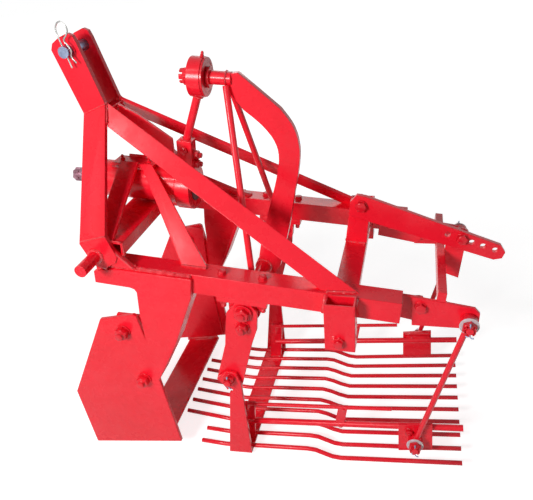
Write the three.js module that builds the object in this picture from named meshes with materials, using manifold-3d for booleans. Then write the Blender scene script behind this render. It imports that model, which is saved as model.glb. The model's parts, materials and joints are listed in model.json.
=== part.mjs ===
// One-row vibrating potato digger for a tractor's three-point hitch.
//
// Millimetres. The machine is drawn in its own level frame: +X to the rear, +Y to the
// machine's right, +Z up, Y = 0 on the mid-plane, Z = 0 on top of the two main beams and
// X = 0 at the rocking shaft. The whole machine is then pitched nose-up into the attitude
// in which it is parked: the front tips of the side plates and the bottom of the sieve on
// the floor. The part's origin is on the floor, in the middle of its footprint.
import * as THREE from 'three';
import { mergeVertices } from 'three/addons/utils/BufferGeometryUtils.js';
import { ConvexGeometry } from 'three/addons/geometries/ConvexGeometry.js';
import Module from 'manifold-3d';

const wasm = await Module();
wasm.setup();

// ---------------------------------------------------------------- driving dimensions
const GAP = 0.3;                    // between welded or bolted faces
const PARK_PITCH = 6.8;             // degrees, nose-up

// main frame
const BEAM = 50;                    // square tube of the beams and the rear cross-member
const BRACE = { width: 43, thick: 8, lean: 42.7 };   // flat bars of the diagonals, leaning with the hitch plates
const TUBE_WALL = 4;
const FRAME_HALF = 223;             // mid-plane to the outer face of a beam
const BEAM_FRONT = -341;
const BEAM_REAR = 341;
const PLATE = 10;                   // side plates
const THIN_PLATE = 8;
const HITCH_PLATE = 12;

// hitch
const LOWER_PIN = { x: -329, z: 23, r: 14, reach: FRAME_HALF + 78 };
const CLEVIS_HALF = 39;             // mid-plane to the outer face of a clevis plate
const TOP_PIN = { x: -432, z: 417, r: 12.5, near: CLEVIS_HALF + 21, far: CLEVIS_HALF + 14 };
const CLIP = { y: -CLEVIS_HALF - 14, r: 1.8 };   // spring clip through the top pin, bent from wire
const MAST_BEND_Z = 74;             // the hitch plates lean inwards above this
const MAST_JOINT_Z = 291;           // and carry the clevis plates from here up

// drive
const PTO_Z = 104;
const PTO_SHAFT_R = 17.5;
const PTO_STUB_X = -499;
const HOUSING = { front: -410, rear: -212, r: 45 };
const ECCENTRIC = { throw: 8, r: 16, front: -203, rear: -177 };
const BIG_END = { r: 55, bore: 34 };
const TOP_EYE = { x: -148, z: 369, r: 43, width: 30 };

// rear links, from their hinges on the rear arms down to the sieve
const REAR_ARM_OUTER = FRAME_HALF - 42;
const LINK_TOP = { x: BEAM_REAR + 138, z: -43 };
const LINK_BOTTOM = { x: BEAM_REAR + 82, z: -420 };
const LINK_HALF = REAR_ARM_OUTER + 15;   // mid-plane to the plane of a link
const LINK_PIN = { r: 8, reach: REAR_ARM_OUTER + 45, clearance: 0.5 };

// sieve
const BRACKET_OUTER = FRAME_HALF - 6;
const ROD_R = 6;
const ROD_COUNT = 10;
const ROD_HALF_SPAN = BRACKET_OUTER - 21;
const GUARD_HALF = REAR_ARM_OUTER - 16;
const GUARD_BAR_R = 8;

// rocker
const HANGER = { outer: BRACKET_OUTER - 11, thick: 8 };
const HANGER_PIVOT = { x: -35, z: -296, r: 8 };
const ROCK_SHAFT = { x: 0, z: -BEAM - 46, r: 17.5, half: HANGER.outer + 3 };
const SPINDLE_R = 15;
const ARM_THICK = 16;

// ---------------------------------------------------------------- solid helpers
const toManifold = (geometry) => {
  const plain = geometry.index ? geometry.toNonIndexed() : geometry.clone();
  plain.deleteAttribute('normal');
  plain.deleteAttribute('uv');
  const merged = mergeVertices(plain, 1e-4);
  return new wasm.Manifold(new wasm.Mesh({
    numProp: 3,
    vertProperties: new Float32Array(merged.attributes.position.array),
    triVerts: new Uint32Array(merged.index.array),
  }));
};

const toGeometry = (solid) => {
  const mesh = solid.getMesh();
  const geometry = new THREE.BufferGeometry();
  geometry.setAttribute('position', new THREE.BufferAttribute(mesh.vertProperties, 3));
  geometry.setIndex(new THREE.BufferAttribute(mesh.triVerts, 1));
  return geometry;
};

const join = (...geometries) =>
  toGeometry(geometries.map(toManifold).reduce((sum, solid) => sum.add(solid)));

const cut = (body, ...tools) =>
  toGeometry(tools.map(toManifold).reduce((rest, tool) => rest.subtract(tool), toManifold(body)));

// A flat outline in X and Z, given as [x, z] pairs, as a plate between two values of Y.
const plateFromShape = (shape, yLow, yHigh, curveSegments = 8) => {
  const geometry = new THREE.ExtrudeGeometry(shape, {
    depth: yHigh - yLow, bevelEnabled: false, curveSegments,
  });
  geometry.rotateX(Math.PI / 2);
  geometry.translate(0, yHigh, 0);
  return geometry;
};

const outline = (points) => new THREE.Shape(points.map(([x, z]) => new THREE.Vector2(x, z)));

const plate = (points, yLow, yHigh) => plateFromShape(outline(points), yLow, yHigh);

const box = (x0, x1, y0, y1, z0, z1) => {
  const geometry = new THREE.BoxGeometry(x1 - x0, y1 - y0, z1 - z0);
  geometry.translate((x0 + x1) / 2, (y0 + y1) / 2, (z0 + z1) / 2);
  return geometry;
};

// A round bar between two points.
const roundBar = (from, to, r, sides = 24) => {
  const a = new THREE.Vector3(...from);
  const b = new THREE.Vector3(...to);
  const geometry = new THREE.CylinderGeometry(r, r, a.distanceTo(b), sides);
  const along = b.clone().sub(a).normalize();
  geometry.applyQuaternion(new THREE.Quaternion().setFromUnitVectors(new THREE.Vector3(0, 1, 0), along));
  geometry.translate((a.x + b.x) / 2, (a.y + b.y) / 2, (a.z + b.z) / 2);
  return geometry;
};

const barY = (x, z, r, yA, yB, sides = 24) => roundBar([x, yA, z], [x, yB, z], r, sides);

// A bar swept along a curve, with a round section of few sides.
const sweep = (curve, r, steps, sides = 8) => {
  const section = new THREE.Shape();
  for (let i = 0; i < sides; i += 1) {
    const angle = (2 * Math.PI * (i + 0.5)) / sides;
    const point = [r * Math.cos(angle), r * Math.sin(angle)];
    if (i === 0) section.moveTo(...point);
    else section.lineTo(...point);
  }
  section.closePath();
  return new THREE.ExtrudeGeometry(section, { steps, bevelEnabled: false, extrudePath: curve });
};

// A flat bar through four corners of its visible face, thickened along its own normal.
const slab = (corners, thick) => {
  const points = corners.map((corner) => new THREE.Vector3(...corner));
  const normal = points[1].clone().sub(points[0]).cross(points[3].clone().sub(points[0])).normalize();
  return new ConvexGeometry([...points, ...points.map((p) => p.clone().addScaledVector(normal, thick))]);
};

// ---------------------------------------------------------------- materials
const paint = (color = 0xd21b28) => new THREE.MeshStandardMaterial({ color, roughness: 0.28, metalness: 0.1 });
const zinc = () => new THREE.MeshStandardMaterial({ color: 0xc9ccd0, roughness: 0.35, metalness: 0.9 });
const steel = () => new THREE.MeshStandardMaterial({ color: 0x7c8794, roughness: 0.4, metalness: 0.9 });

const SIDES = [['left', -1], ['right', 1]];

const machine = new THREE.Group();
const add = (name, geometry, material = paint()) => {
  const mesh = new THREE.Mesh(geometry, material);
  mesh.name = name;
  machine.add(mesh);
  return mesh;
};

// Y limits of a plate on one side, from its distances to the mid-plane.
const span = (side, inner, outer) => (side < 0 ? [-outer, -inner] : [inner, outer]);

// ---------------------------------------------------------------- main frame
const beam = (side) => {
  const [y0, y1] = span(side, FRAME_HALF - BEAM, FRAME_HALF);
  const outer = box(BEAM_FRONT, BEAM_REAR, y0, y1, -BEAM, 0);
  const inner = box(BEAM_FRONT - 1, BEAM_REAR + 1, y0 + TUBE_WALL, y1 - TUBE_WALL, TUBE_WALL - BEAM, -TUBE_WALL);
  return cut(outer, inner);
};

const sidePlate = (side) => {
  const [y0, y1] = span(side, FRAME_HALF + GAP, FRAME_HALF + GAP + PLATE);
  const legBottomFront = [
    [-343, -21], [-344, -52], [-258, -53], [-248, -56], [-243, -64],
    [-244, -125], [-238, -203], [-254, -135], [-262, -132], [-352, -162],
  ];
  const blade = [[-466, -429], [-437, -620], [-175, -546], [-209, -366], [-216, -330], [-162, -206], [-112, -59], [-108, -8], [-290, -8]];
  return plate([...legBottomFront, ...blade], y0, y1);
};

const innerPlate = (side) => {
  const [y0, y1] = span(side, FRAME_HALF - GAP - THIN_PLATE, FRAME_HALF - GAP);
  return plate([[-318, -170], [-310, -144], [-248, -140], [-236, -330], [-200, -545], [-330, -596]], y0, y1);
};

// Flat strip that closes the leg behind the side plate, as wide as the beam above it.
const legStrip = (side) => {
  const under = -BEAM - GAP;
  return plate([
    [-109, under], [-112, under - 8.7], [-162, -206], [-216, -330],
    [-223.5, -326.8], [-169.5, -203], [-119.5, under - 6.7], [-117, under],
  ], ...span(side, FRAME_HALF - BEAM, FRAME_HALF - GAP));
};

const share = () => {
  const half = FRAME_HALF - THIN_PLATE - 3 * GAP;
  return plate([[-326, -596], [-318, -583], [-216, -556], [-214, -564]], -half, half);
};

const hitchPlate = (side) => {
  const yOut = FRAME_HALF + GAP + HITCH_PLATE;
  const lower = plate([
    [-358, MAST_BEND_Z + 1], [-364, 49], [-348, 17], [-331, -6], [-310, -8 + GAP + 1],
    [-283, 11], [-277, 28], [-285, 45], [-298, MAST_BEND_Z + 1],
  ], ...span(side, FRAME_HALF + GAP, yOut));
  const at = (x, y, z) => new THREE.Vector3(x, side * y, z);
  const leaning = new ConvexGeometry([
    at(-358, yOut, MAST_BEND_Z), at(-298, yOut, MAST_BEND_Z),
    at(-358, yOut - HITCH_PLATE, MAST_BEND_Z), at(-298, yOut - HITCH_PLATE, MAST_BEND_Z),
    at(-421, CLEVIS_HALF, MAST_JOINT_Z - 13), at(-363, CLEVIS_HALF, MAST_JOINT_Z + 13),
    at(-421, CLEVIS_HALF - HITCH_PLATE, MAST_JOINT_Z - 13), at(-363, CLEVIS_HALF - HITCH_PLATE, MAST_JOINT_Z + 13),
  ]);
  const gusset = plate([[-295, 47], [-290, 47], [-237, -2], [-295, -2]], ...span(side, FRAME_HALF + GAP, FRAME_HALF + THIN_PLATE));
  const pin = barY(LOWER_PIN.x, LOWER_PIN.z, LOWER_PIN.r, side * (yOut - 2), side * LOWER_PIN.reach);
  return join(lower, leaning, gusset, pin);
};

const clevisPlate = (side) => {
  const body = plate([
    [-421, MAST_JOINT_Z - 13 + GAP], [-474, 416], [-469, 430], [-451, 443], [-429, 453],
    [-417, 449], [-411, 437], [-363, MAST_JOINT_Z + 13 + GAP],
  ], ...span(side, CLEVIS_HALF - HITCH_PLATE, CLEVIS_HALF));
  return cut(body, barY(TOP_PIN.x, TOP_PIN.z, TOP_PIN.r + GAP, -100, 100));
};

// Offsets of the clip's bends from the pin's axis; its straight leg passes through the pin.
const CLIP_LEG = [[11.5, -33], [-10, 34]];
const pinClip = () => {
  const bends = [...CLIP_LEG, [-12, 48], [-7, 58], [1, 62], [11, 56.5], [15.5, 46], [10, 34],
    [2.5, 23.5], [10, 14.5], [16, 2], [13.8, -9], [24.5, -22]];
  const points = bends.map(([x, z]) => new THREE.Vector3(TOP_PIN.x + x, CLIP.y, TOP_PIN.z + z));
  return sweep(new THREE.CatmullRomCurve3(points, false, 'centripetal'), CLIP.r, 56, 8);
};

const topLinkPin = () => {
  const pin = barY(TOP_PIN.x, TOP_PIN.z, TOP_PIN.r, -TOP_PIN.near, TOP_PIN.far);
  const [[x0, z0], [x1, z1]] = CLIP_LEG;
  return cut(pin, roundBar([TOP_PIN.x + x0, CLIP.y, TOP_PIN.z + z0], [TOP_PIN.x + x1, CLIP.y, TOP_PIN.z + z1], CLIP.r + 0.6, 16));
};

const diagonal = (side) => {
  const front = new THREE.Vector3(-363, side * (CLEVIS_HALF + 5.8), MAST_JOINT_Z - 4.7);
  const rear = new THREE.Vector3(235, side * (FRAME_HALF - 6.3), -10);
  const along = rear.clone().sub(front).normalize();
  const outward = new THREE.Vector3(0, 0, side).cross(along).normalize();
  const up = new THREE.Vector3(0, 0, 1).addScaledVector(along, -along.z).normalize();
  const lean = THREE.MathUtils.degToRad(BRACE.lean);
  const normal = outward.multiplyScalar(Math.cos(lean)).addScaledVector(up, Math.sin(lean));
  const across = normal.clone().cross(along);
  const middle = front.clone().add(rear).multiplyScalar(0.5).addScaledVector(normal, -BRACE.thick / 2);
  const bar = new THREE.BoxGeometry(front.distanceTo(rear) + 120, BRACE.width, BRACE.thick)
    .applyMatrix4(new THREE.Matrix4().makeBasis(along, across, normal).setPosition(middle));
  const pastHitch = plate([[-600, -50], [-262.6, -50], [-474.6, 700], [-600, 700]], -300, 300);
  const pastBlock = box(-400, -352, HITCH_PLATE - CLEVIS_HALF, CLEVIS_HALF - HITCH_PLATE, 0, 600);
  const pastBottom = box(0, 400, -300, 300, -200, GAP);
  const pastBeam = box(-400, 400, ...span(side, FRAME_HALF, 300), -100, 600);
  return cut(bar, pastHitch, pastBlock, pastBottom, pastBeam);
};

const mastBlock = () => {
  const half = CLEVIS_HALF - HITCH_PLATE - GAP;
  return box(-376, -352 - GAP, -half, half, 250, MAST_JOINT_Z + 5);
};

// Stay in the mid-plane, from the mast block down to the top of the bearing housing.
const mastStay = () => {
  const foot = PTO_Z + HOUSING.r + GAP;
  const top = MAST_JOINT_Z + 5;
  return plate([[-352, top], [-305, 275], [-223, 222], [-219, foot], [-269.7, foot], [-269.7, foot + 10], [-352, 252]], -4, 4);
};

const frontCrossMember = () => {
  const [x0, x1, z0, z1] = [-344, -268, 24, 56];
  const half = FRAME_HALF - GAP;
  const outer = box(x0, x1, -half, half, z0, z1);
  const inner = box(x0 + TUBE_WALL, x1 - TUBE_WALL, -half - 1, half + 1, z0 + TUBE_WALL, z1 - TUBE_WALL);
  return cut(outer, inner);
};

const rearCrossMember = () => {
  const half = FRAME_HALF - BEAM - GAP;
  const outer = box(200, 250, -half, half, -BEAM, 0);
  return cut(outer, box(204, 246, -half - 1, half + 1, 4 - BEAM, -4));
};

const sleeve = (side) => {
  const depth = 40;
  const [y0, y1] = span(side, FRAME_HALF + GAP, FRAME_HALF + GAP + depth);
  const outer = box(-32, 32, y0, y1, -114, 2);
  const inner = box(-27, 27, y0 + 5, y1 - 5, -120, 10);
  const tube = cut(outer, inner);
  tube.rotateY(THREE.MathUtils.degToRad(-5));
  tube.translate(218, 0, 0);
  return tube;
};

// ---------------------------------------------------------------- drive
const housing = () => {
  const body = roundBar([HOUSING.front, 0, PTO_Z], [HOUSING.rear, 0, PTO_Z], HOUSING.r, 40);
  return cut(body, roundBar([HOUSING.front - 1, 0, PTO_Z], [HOUSING.rear + 1, 0, PTO_Z], PTO_SHAFT_R + 0.5, 24));
};

// The plate on top of the bearing housing, with its two front and two rear legs.
const bearingCradle = () => {
  const top = PTO_Z + HOUSING.r + GAP;
  const saddle = plate([[-385, top], [-270, top], [-270, top + 8], [-376, top + 8]], -24, 24);
  const legs = [];
  for (const [, side] of SIDES) {
    const thick = side < 0 ? -THIN_PLATE : THIN_PLATE;
    const front = slab([
      [-353, side * 20, top + 7], [-308, side * 20, top + 7],
      [-290, side * (FRAME_HALF - 8), 54], [-335, side * (FRAME_HALF - 8), 54],
    ], thick);
    const rear = slab([
      [-300, side * 20, top + 5], [-271, side * 20, top + 7.5],
      [-79, side * (FRAME_HALF - 33), -8], [-141, side * (FRAME_HALF - 33), -8],
    ], thick);
    legs.push(cut(front, box(-400, 100, -300, 300, -100, 56 + GAP)));
    legs.push(cut(rear, box(-400, 100, -300, 300, -100, GAP)));
  }
  return join(saddle, ...legs);
};

const ptoShaft = () => {
  const journal = roundBar([PTO_STUB_X, 0, PTO_Z], [ECCENTRIC.rear, 0, PTO_Z], PTO_SHAFT_R, 24);
  const lobe = roundBar(
    [ECCENTRIC.front, ECCENTRIC.throw, PTO_Z], [ECCENTRIC.rear, ECCENTRIC.throw, PTO_Z], ECCENTRIC.r, 24);
  return join(journal, lobe);
};

const connectingRod = () => {
  const ring = roundBar([-208, 0, PTO_Z], [-172, 0, PTO_Z], BIG_END.r, 36);
  const neck = box(-208, -172, -15, 15, PTO_Z + 40, 222);
  const eye = roundBar([TOP_EYE.x - TOP_EYE.width / 2, 0, TOP_EYE.z], [TOP_EYE.x + TOP_EYE.width / 2, 0, TOP_EYE.z], TOP_EYE.r, 36);
  const rod = roundBar([-190, 0, 215], [TOP_EYE.x - 4, 0, TOP_EYE.z - TOP_EYE.r + 6], 9.5, 16);
  const bigBore = roundBar([-220, 0, PTO_Z], [-160, 0, PTO_Z], BIG_END.bore, 32);
  const eyeBore = roundBar([-190, 0, TOP_EYE.z], [-120, 0, TOP_EYE.z], SPINDLE_R + 0.8, 28);
  return cut(join(ring, neck, rod, eye), bigBore, eyeBore);
};

// ---------------------------------------------------------------- rocker
// Flat cut plate between two curves, with the spindle of the upper eye and two brace rods.
const curvedArm = () => {
  const curve = (points, steps) =>
    new THREE.SplineCurve(points.map(([x, z]) => new THREE.Vector2(x, z))).getPoints(steps).map((p) => [p.x, p.y]);
  const foot = ROCK_SHAFT.z;
  const outer = curve([[37, 313], [66, 276], [81, 232], [82, 184], [74, 117], [62, 20], [42, foot + 6]], 22);
  const inner = curve([[-16, foot - 4], [-6, -20], [16, 84], [30, 150], [35, 204], [23, 242], [-7, 276], [-46, 305]], 24);
  const web = plate([[-80, 381], [-57, 384], ...outer, [26, foot - 24], [-6, foot - 24], ...inner, [-67, 329], [-83, 350]],
    -ARM_THICK / 2, ARM_THICK / 2);
  const spindle = roundBar([TOP_EYE.x - 24, 0, TOP_EYE.z], [-72, 0, TOP_EYE.z], SPINDLE_R, 24);
  const braces = SIDES.map(([, side]) => roundBar([-83, side * 12, 356], [16, side * (FRAME_HALF - BEAM - 15), foot + 12], 7.5, 12));
  return cut(join(web, spindle, ...braces), barY(ROCK_SHAFT.x, ROCK_SHAFT.z, ROCK_SHAFT.r + GAP, -FRAME_HALF, FRAME_HALF));
};

const hanger = (side) => {
  const top = ROCK_SHAFT.z;
  const body = plate([
    [-40, top - 10], [-30, top + 6], [-18, top + 22], [18, top + 22], [33, top + 4], [32, top - 45],
    [19, -189], [-6, -320], [-14, -328], [-62, -328], [-72, -318], [-46, -200], [-44, top - 64],
  ], ...span(side, HANGER.outer - HANGER.thick, HANGER.outer));
  return cut(body, barY(ROCK_SHAFT.x, ROCK_SHAFT.z, ROCK_SHAFT.r + GAP, -300, 300),
    barY(HANGER_PIVOT.x, HANGER_PIVOT.z, HANGER_PIVOT.r + GAP, -300, 300));
};

const bearing = (side) => {
  const inner = FRAME_HALF - BEAM - 1;
  const [y0, y1] = span(side, inner, FRAME_HALF - 5);
  const flange = box(-58, 58, y0, y1, -BEAM - 16, -BEAM - GAP);
  const [r0, r1] = span(side, inner, HANGER.outer - HANGER.thick - 6);
  const ring = barY(ROCK_SHAFT.x, ROCK_SHAFT.z, 38, r0, r1, 32);
  const web = box(-38, 38, r0, r1, ROCK_SHAFT.z, -BEAM - 10);
  return cut(join(flange, ring, web), barY(ROCK_SHAFT.x, ROCK_SHAFT.z, ROCK_SHAFT.r + 0.5, -300, 300));
};

// ---------------------------------------------------------------- sieve
const sieveBracket = (side) => {
  const body = plate([
    [-66, -302], [-45, -278], [-19, -278], [-7, -310], [18, -556], [-44, -567], [-36, -345],
  ], ...span(side, BRACKET_OUTER - THIN_PLATE, BRACKET_OUTER));
  const pin = roundBar(
    [HANGER_PIVOT.x, side * (HANGER.outer - HANGER.thick - 6), HANGER_PIVOT.z],
    [HANGER_PIVOT.x, side * (BRACKET_OUTER + 22), HANGER_PIVOT.z], HANGER_PIVOT.r, 20);
  return join(cut(body, barY(-34, -338, 7, -300, 300, 16)), pin);
};

const sieveRod = (y, front) => {
  const path = new THREE.CurvePath();
  const points = [
    front === 'short' ? [-130, -571] : [-205, -566], [-58, -567], [20, -549], [178, -517], [237, -534], [BEAM_REAR + 199, -462],
  ];
  const corners = points.map(([x, z]) => new THREE.Vector3(x, y, z));
  const bend = 14;
  let from = corners[0];
  for (let i = 1; i < corners.length; i += 1) {
    const back = corners[i].clone().sub(corners[i - 1]).normalize();
    const stop = i < corners.length - 1 ? corners[i].clone().addScaledVector(back, -bend) : corners[i];
    path.add(new THREE.LineCurve3(from, stop));
    if (i < corners.length - 1) {
      const ahead = corners[i + 1].clone().sub(corners[i]).normalize();
      from = corners[i].clone().addScaledVector(ahead, bend);
      path.add(new THREE.QuadraticBezierCurve3(stop, corners[i], from));
    }
  }
  return sweep(path, ROD_R, 30, 8);
};

const sieveGrid = () => {
  const half = BRACKET_OUTER - THIN_PLATE - GAP;
  const carrier = plate([[-44, -572], [18, -558], [18, -551], [-44, -565]], -half, half);
  const rods = [];
  for (let i = 0; i < ROD_COUNT; i += 1) {
    const y = -ROD_HALF_SPAN + (2 * ROD_HALF_SPAN * i) / (ROD_COUNT - 1);
    rods.push(sieveRod(y, i < 2 || i > ROD_COUNT - 3 ? 'short' : 'long'));
  }
  return join(carrier, ...rods);
};

const guard = (side) => {
  const y = side * GUARD_HALF;
  const x = LINK_BOTTOM.x;
  const [y0, y1] = span(side, GUARD_HALF - 4, GUARD_HALF + 4);
  const lower = roundBar([-5, y, -493], [x + 106, y, -377], GUARD_BAR_R, 16);
  const upper = roundBar([-5, y, -431], [x - 65, y, -356], 5, 12);
  const post = plate([[-20, -559.2], [14, -551.5], [14, -420], [-20, -427]], y0, y1);
  const strut = plate([[226, -444], [249, -439], [253, -374], [230, -379]], y0, y1);
  const rearPlate = plate([[x - 44, -389], [x + 33, -368], [x + 46, -454], [x - 33, -478]],
    ...span(side, REAR_ARM_OUTER - THIN_PLATE, REAR_ARM_OUTER));
  const holder = plate([[x - 33, -410], [x + 27, -397], [x + 32, -380], [x - 31, -392]],
    ...span(side, GUARD_HALF, REAR_ARM_OUTER - 4));
  const pin = barY(x, LINK_BOTTOM.z, LINK_PIN.r, side * (REAR_ARM_OUTER - 4), side * LINK_PIN.reach, 16);
  return join(lower, upper, post, strut, rearPlate, holder, pin);
};

// ---------------------------------------------------------------- rear arms and links
const rearArm = (side) => {
  const x = BEAM_REAR;
  const arm = plate([[x + 18, -8], [x + 147, -16], [x + 158, -27], [x + 160, -58], [x + 151, -68], [x + 28, -81]],
    ...span(side, FRAME_HALF - BEAM, REAR_ARM_OUTER));
  const pin = barY(LINK_TOP.x, LINK_TOP.z, LINK_PIN.r, side * (REAR_ARM_OUTER - 4), side * LINK_PIN.reach, 16);
  return join(arm, pin);
};

const armHolder = (side) => {
  const x = BEAM_REAR;
  return plate([[x - 69, -12], [x + 43, -13], [x + 43, -64], [x + 31, -74], [x - 69, -64]],
    ...span(side, FRAME_HALF - BEAM - GAP - THIN_PLATE, FRAME_HALF - BEAM - GAP));
};

const rearLink = (side) => {
  const eyeWidth = 18;
  const y = side * LINK_HALF;
  const rod = roundBar([LINK_TOP.x, y, LINK_TOP.z], [LINK_BOTTOM.x, y, LINK_BOTTOM.z], 6.5, 12);
  const eyes = [LINK_TOP, LINK_BOTTOM].map(({ x, z }) => barY(x, z, 17, y - eyeWidth / 2, y + eyeWidth / 2, 28));
  const bores = [LINK_TOP, LINK_BOTTOM].map(({ x, z }) =>
    barY(x, z, LINK_PIN.r + LINK_PIN.clearance, y - 20, y + 20, 20));
  return cut(join(rod, ...eyes), ...bores);
};

const REAR_BAR = { front: BEAM_REAR + 69, rear: BEAM_REAR + 87, low: -10.8, high: 12 };
const rearCrossBar = () => box(REAR_BAR.front, REAR_BAR.rear,
  -REAR_ARM_OUTER, REAR_ARM_OUTER, REAR_BAR.low, REAR_BAR.high);

const POST_X = 200;                 // front face of the rear cross-member and of the post on it
const centrePost = () => {
  const x = POST_X;
  return plate([[x, GAP], [x + 50, GAP], [x + 48, 110], [x + 27, 125], [x + 3, 110]], GAP / 2, 12);
};

const centreArm = () => {
  const body = plate([
    [203, 111], [217, 130], [238, 128], [543, 44], [555, 28], [551, 12], [534, 6], [248, 67], [205, 78],
  ], -12, -GAP / 2);
  const holes = [427, 481, 506, 533].map((x) => barY(x, 57 - (x - 427) * 0.245, 6.5, -30, 30, 16));
  return cut(body, ...holes);
};

// It hangs on the adjusting arm, against the rear face of the rear cross bar.
const armBracket = () => {
  const x = REAR_BAR.rear + GAP;
  return plate([[x, 36], [x + 42, 26], [x + 42, -62], [x, -51]], 0, 8);
};

// ---------------------------------------------------------------- assembly
for (const [name, side] of SIDES) {
  add(`${name}_beam`, beam(side));
  add(`${name}_side_plate`, sidePlate(side));
  add(`${name}_inner_plate`, innerPlate(side));
  add(`${name}_leg_strip`, legStrip(side));
  add(`${name}_hitch_plate`, hitchPlate(side));
  add(`${name}_clevis_plate`, clevisPlate(side));
  add(`${name}_diagonal_brace`, diagonal(side));
  add(`${name}_wheel_sleeve`, sleeve(side));
  add(`${name}_bearing`, bearing(side));
  add(`${name}_hanger`, hanger(side));
  add(`${name}_sieve_bracket`, sieveBracket(side));
  add(`${name}_guard`, guard(side));
  add(`${name}_rear_arm`, rearArm(side));
  add(`${name}_arm_holder`, armHolder(side));
  add(`${name}_rear_link`, rearLink(side));
}
add('front_cross_member', frontCrossMember());
add('rear_cross_member', rearCrossMember());
add('mast_block', mastBlock());
add('mast_stay', mastStay());
add('share', share());
add('bearing_housing', housing());
add('bearing_cradle', bearingCradle());
add('pto_shaft', ptoShaft(), steel());
add('connecting_rod', connectingRod());
add('rock_shaft', barY(ROCK_SHAFT.x, ROCK_SHAFT.z, ROCK_SHAFT.r, -ROCK_SHAFT.half, ROCK_SHAFT.half), steel());
add('curved_arm', curvedArm());
add('sieve_grid', sieveGrid());
add('rear_cross_bar', rearCrossBar());
add('centre_post', centrePost());
add('centre_arm', centreArm());
add('arm_bracket', armBracket());
add('top_link_pin', topLinkPin(), steel());
add('pin_clip', pinClip(), zinc());

machine.rotation.y = THREE.MathUtils.degToRad(PARK_PITCH);

// The origin goes to the middle of the bottom of the whole machine's box.
const part = new THREE.Group();
part.add(machine);
part.updateMatrixWorld(true);
const whole = new THREE.Box3().setFromObject(part, true);
const middle = whole.getCenter(new THREE.Vector3());
machine.position.set(-middle.x, 0, -whole.min.z);

export default part;
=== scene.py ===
# Looks of the one-row vibrating potato digger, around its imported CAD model.
import json
import math
import random

import bmesh
import bpy
from mathutils import Matrix, Vector


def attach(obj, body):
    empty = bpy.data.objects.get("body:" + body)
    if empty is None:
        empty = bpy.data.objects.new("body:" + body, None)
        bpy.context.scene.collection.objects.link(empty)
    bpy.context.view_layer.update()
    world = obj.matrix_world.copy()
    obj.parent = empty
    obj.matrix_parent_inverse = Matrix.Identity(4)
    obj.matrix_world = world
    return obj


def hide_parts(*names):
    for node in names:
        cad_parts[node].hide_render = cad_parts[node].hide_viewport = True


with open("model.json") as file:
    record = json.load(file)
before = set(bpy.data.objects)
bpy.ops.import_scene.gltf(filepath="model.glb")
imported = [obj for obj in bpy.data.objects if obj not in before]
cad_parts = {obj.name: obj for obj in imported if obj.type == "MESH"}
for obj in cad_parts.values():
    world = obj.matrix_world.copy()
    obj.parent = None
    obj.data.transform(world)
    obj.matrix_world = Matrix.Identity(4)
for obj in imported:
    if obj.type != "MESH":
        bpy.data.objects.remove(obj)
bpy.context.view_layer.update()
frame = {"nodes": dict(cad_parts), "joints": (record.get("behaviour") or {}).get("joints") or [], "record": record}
random.seed(7)

# ---------------------------------------------------------------- machine frame
# Trim is placed in the machine's own level frame, in millimetres: +X rear, +Y right,
# Z = 0 on top of the beams, X = 0 at the rocking shaft. The machine is parked pitched.
PITCH = math.radians(6.8)
SHAFT_Z = -96.0
TURN = Matrix.Rotation(PITCH, 3, "Y")
SHAFT = next(j for j in frame["joints"] if j["name"] == "rocker_swing")["pos_m"]
ORIGIN = Vector(SHAFT) - TURN @ Vector((0, 0, SHAFT_Z / 1000))


def at(x, y, z):
    return ORIGIN + TURN @ (Vector((x, y, z)) / 1000)


def aim(x, y, z):
    return TURN @ Vector((x, y, z)).normalized()


SIDES = (-1, 1)

# ---------------------------------------------------------------- camera
FOCAL_PX, FRAME_PX, SENSOR = 550.0, 533.0, 36.0
CAM_AT = (287.0, -1152.0, 670.0)
CAM_RIGHT, CAM_AHEAD = (0.971, 0.2383, 0.0), (-0.2035, 0.8294, -0.520)


def make_camera():
    cam = bpy.data.objects.new("camera", bpy.data.cameras.new("camera"))
    bpy.context.scene.collection.objects.link(cam)
    cam.data.sensor_width = SENSOR
    cam.data.lens = FOCAL_PX * SENSOR / FRAME_PX
    cam.data.clip_start = 0.02
    ahead = aim(*CAM_AHEAD)
    right = aim(*CAM_RIGHT)
    right = (right - ahead * right.dot(ahead)).normalized()
    up = right.cross(ahead)
    basis = Matrix((right, up, -ahead)).transposed().to_4x4()
    cam.matrix_world = Matrix.Translation(at(*CAM_AT)) @ basis
    bpy.context.scene.camera = cam


make_camera()
bpy.context.scene.view_settings.view_transform = "Standard"


# ---------------------------------------------------------------- materials
def new_material(name):
    mat = bpy.data.materials.new(name)
    mat.use_nodes = True
    tree = mat.node_tree
    return mat, tree, tree.nodes["Principled BSDF"]


def node(tree, kind, **inputs):
    made = tree.nodes.new(kind)
    for key, value in inputs.items():
        made.inputs[key].default_value = value
    return made


def noise(tree, scale, detail=4.0, rough=0.55):
    place = tree.nodes.new("ShaderNodeTexCoord")
    made = node(tree, "ShaderNodeTexNoise", Scale=scale, Detail=detail, Roughness=rough)
    tree.links.new(place.outputs["Object"], made.inputs["Vector"])
    return made.outputs["Fac"]


def ramp(tree, fac, low, high, start=0.3, end=0.7):
    made = tree.nodes.new("ShaderNodeValToRGB")
    made.color_ramp.elements[0].position = start
    made.color_ramp.elements[1].position = end
    made.color_ramp.elements[0].color = (*low, 1)
    made.color_ramp.elements[1].color = (*high, 1)
    tree.links.new(fac, made.inputs["Fac"])
    return made.outputs["Color"]


def span_map(tree, fac, low, high):
    made = tree.nodes.new("ShaderNodeMapRange")
    made.inputs["From Min"].default_value = 0.3
    made.inputs["From Max"].default_value = 0.7
    made.inputs["To Min"].default_value = low
    made.inputs["To Max"].default_value = high
    tree.links.new(fac, made.inputs["Value"])
    return made.outputs["Result"]


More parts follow.
